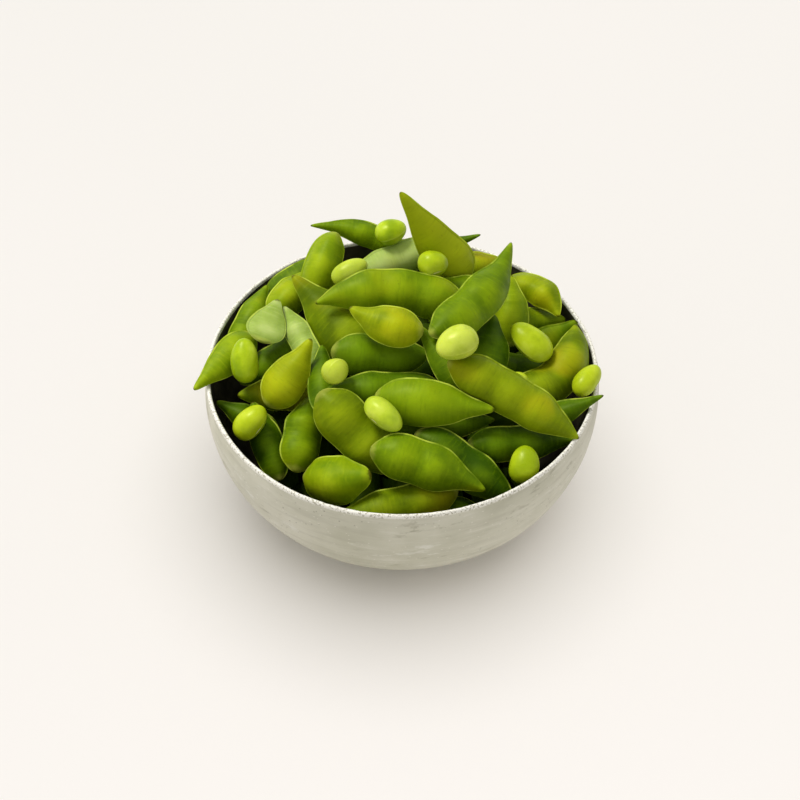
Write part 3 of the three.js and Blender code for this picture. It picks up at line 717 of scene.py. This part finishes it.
def bean_material():
    s = Shader("shelled_bean")
    place = s.place()
    mottle = s.noise(place, 130, 3)
    colour = s.mixed(s.between(mottle, 0.32, 0.62), rgb(136, 164, 8), rgb(174, 198, 24))
    colour = s.mixed(s.between(mottle, 0.55, 0.75, 0, 0.6), colour, rgb(208, 224, 76))
    colour = s.mixed(s.between(s.value("own"), 0, 1, 0, 0.3), colour, rgb(196, 202, 26))
    # Paler patches on the beans listed in PALER; on bean_centre they are painted light.
    patchy = s.maths("MULTIPLY", s.value("paler"), s.between(s.noise(place, 190, 3), 0.35, 0.6, 0.6, 1.1))
    colour = s.mixed(patchy, colour, rgb(222, 232, 104))
    hilum = s.value("hilum")
    colour = s.mixed(s.between(hilum, 1.35, 1.05, 0, 0.45), colour, rgb(104, 122, 10))
    colour = s.mixed(s.between(hilum, 0.85, 0.6, 0, 0.9), colour, rgb(206, 208, 130))
    # Painted highlight: a pale broken line along the bean's edge seam stands in for the light caught along
    # its rim.
    broken = s.between(s.noise(place, 400, 2), 0.35, 0.6, 0.15, 0.6)
    seam = s.maths("MULTIPLY", s.between(s.value("seam"), 0.45, 0.95), broken)
    colour = s.mixed(seam, colour, rgb(216, 228, 100))
    fine = s.noise(place, 900, 3, 0.6)
    rough = s.between(fine, 0.3, 0.7, 0.26, 0.4)
    normal = s.bump(fine, 0.12, 0.15 * MM)
    normal = s.bump(s.noise(place, 260, 2), 0.2, 0.3 * MM, normal)
    return s.finish(colour, rough, normal, Subsurface_Weight=0.2, Subsurface_Radius=(0.8, 1.0, 0.15),
                    Subsurface_Scale=2 * MM, IOR=1.42, Specular_IOR_Level=0.35,
                    Specular_Tint=(1, 1, 0.5, 1))


def bowl_material():
    s = Shader("bowl_stoneware")
    place = s.place()
    cloud = s.noise(place, 26, 4, 0.55)
    colour = s.mixed(s.between(cloud, 0.3, 0.7), rgb(187, 185, 163), rgb(212, 209, 191))
    # Faint horizontal strokes left by the brush and the wheel.
    strokes = s.noise(s.scaled(place, 40, 40, 420), 1.0, 4, 0.6)
    colour = s.mixed(s.between(strokes, 0.5, 0.7, 0, 0.28), colour, rgb(172, 168, 150))
    colour = s.mixed(s.between(strokes, 0.46, 0.3, 0, 0.3), colour, rgb(226, 222, 210))
    # Iron specks and pale pits in the clay.
    clusters = s.between(s.noise(place, 60, 2), 0.46, 0.62)
    specks = s.maths("MULTIPLY", s.between(s.cells(place, 420), 0.17, 0.09), clusters)
    colour = s.mixed(s.maths("MULTIPLY", specks, 0.5), colour, rgb(112, 104, 84))
    pits = s.between(s.cells(s.scaled(place, 1, 1, 1.7), 330), 0.14, 0.08)
    colour = s.mixed(s.maths("MULTIPLY", pits, 0.5), colour, rgb(240, 236, 226))
    # Smears and scrapes.
    smear = s.noise(s.scaled(place, 75, 75, 230), 1.0, 5, 0.68)
    smeared = s.between(s.noise(place, 34, 2), 0.42, 0.6)
    pale = s.maths("MULTIPLY", s.between(smear, 0.56, 0.68, 0, 0.7), smeared)
    dark = s.maths("MULTIPLY", s.between(smear, 0.42, 0.32, 0, 0.5), smeared)
    colour = s.mixed(pale, colour, rgb(224, 222, 210))
    colour = s.mixed(dark, colour, rgb(146, 142, 118))
    # The glaze is worn off the lip, down to speckled clay.
    speckle = s.noise(place, 1300, 3, 0.7)
    worn = s.mixed(s.between(speckle, 0.36, 0.52), rgb(172, 168, 146), rgb(240, 237, 226))
    colour = s.mixed(s.between(s.value("lip"), 0.25, 0.9), colour, worn)
    # Inside, painted shade: the inner wall is painted dark, as the shadow inside the bowl, down from a thin
    # uneven line just under the lip.
    inside = s.maths("ADD", s.value("inside"), s.maths("MULTIPLY", s.noise(place, 300, 2), 0.5))
    inner_shade = s.mixed(s.between(s.noise(place, 90, 3), 0.3, 0.7), rgb(44, 40, 26), rgb(76, 72, 52))
    colour = s.mixed(s.between(inside, 0.75, 1.15), colour, inner_shade)
    grain = s.noise(place, 1500, 4, 0.65)
    rough = s.between(s.noise(place, 200, 3), 0.3, 0.7, 0.48, 0.68)
    normal = s.bump(strokes, 0.22, 0.35 * MM)
    normal = s.bump(s.noise(place, 380, 4, 0.6), 0.3, 0.3 * MM, normal)
    normal = s.bump(smear, 0.35, 0.4 * MM, normal)
    normal = s.bump(grain, 0.4, 0.16 * MM, normal)
    return s.finish(colour, rough, normal, IOR=1.46)


def floor_material():
    s = Shader("floor")
    place = s.place()
    colour = s.mixed(s.between(s.noise(place, 1.2, 2), 0.3, 0.7), rgb(243, 240, 235), rgb(247, 243, 239))
    return s.finish(colour, 0.42, None, IOR=1.35)


# ------------------------------------------------------------------ the room

AIM = Vector((0, 0, 38.2 * MM))
CAMERA_DISTANCE = 560 * MM
CAMERA_ELEVATION = math.radians(46.5)
CAMERA_LENS = 68.45
CAMERA_SHIFT = -0.0025
CAMERA_NEAREST = 10 * MM
FLOOR_HALF = 60       # metres, so that the floor's edge is the horizon
WARM_WHITE = (1, 0.99, 0.975, 1)
WORLD_STRENGTH = 0.62
# Place, size across in metres, and watts.
OVERHEAD = ((0.05, 0.3, 2.6), 3.4, 42)
KEY = ((-0.75, 0.5, 1.6), 0.6, 26)


def turned_to(obj, target):
    obj.rotation_euler = (target - obj.location).to_track_quat("-Z", "Y").to_euler()


def make_camera():
    data = bpy.data.cameras.new("camera")
    camera = new_object("camera", data)
    towards = Vector((0, -math.cos(CAMERA_ELEVATION), math.sin(CAMERA_ELEVATION)))
    camera.location = AIM + CAMERA_DISTANCE * towards
    turned_to(camera, AIM)
    data.lens = CAMERA_LENS
    data.shift_x = CAMERA_SHIFT
    data.clip_start = CAMERA_NEAREST
    bpy.context.scene.camera = camera


def make_light(name, place, size, watts, lit):
    data = bpy.data.lights.new(name, "AREA")
    data.shape = "DISK"
    data.size = size
    data.energy = watts
    data.color = WARM_WHITE[:3]
    light = new_object(name, data)
    light.location = place
    turned_to(light, AIM)
    group = bpy.data.collections.new(name + "_receivers")
    for obj in lit:
        group.objects.link(obj)
    light.light_linking.receiver_collection = group


def make_floor():
    mesh = bpy.data.meshes.new("floor")
    half = FLOOR_HALF
    corners = [(-half, -half, 0), (half, -half, 0), (half, half, 0), (-half, half, 0)]
    mesh.from_pydata(corners, [], [(0, 1, 2, 3)])
    mesh.materials.append(floor_material())
    floor = new_object("floor", mesh)
    return floor


def light_room(floor, pieces):
    """A large soft light over the floor, a key on the bundle from the back left, and an even pale room."""
    world = bpy.data.worlds.new("studio")
    world.use_nodes = True
    world.node_tree.nodes["Background"].inputs["Color"].default_value = WARM_WHITE
    world.node_tree.nodes["Background"].inputs["Strength"].default_value = WORLD_STRENGTH
    bpy.context.scene.world = world
    bpy.context.scene.view_settings.view_transform = "Standard"
    make_light("overhead", *OVERHEAD, [floor])
    make_light("key", *KEY, pieces)


# ------------------------------------------------------------------ the whole bundle

make_camera()
materials = {slot: pod_material(slot) for slot in POD_TONES}
materials["shelled_bean"] = bean_material()
materials["bowl_stoneware"] = bowl_material()
buried_material = pod_material("pod_deep", buried=True)

made = []
for name in NODES:
    if name == "bowl":
        made.append(make_bowl(materials["bowl_stoneware"]))
    elif name.startswith("buried"):
        made.append(make_buried(name, buried_material))
    elif name.startswith("bean"):
        made.append(make_bean(name, materials["shelled_bean"]))
    else:
        made.append(make_pod(name, materials[SLOT_OF[name]]))
light_room(make_floor(), made)
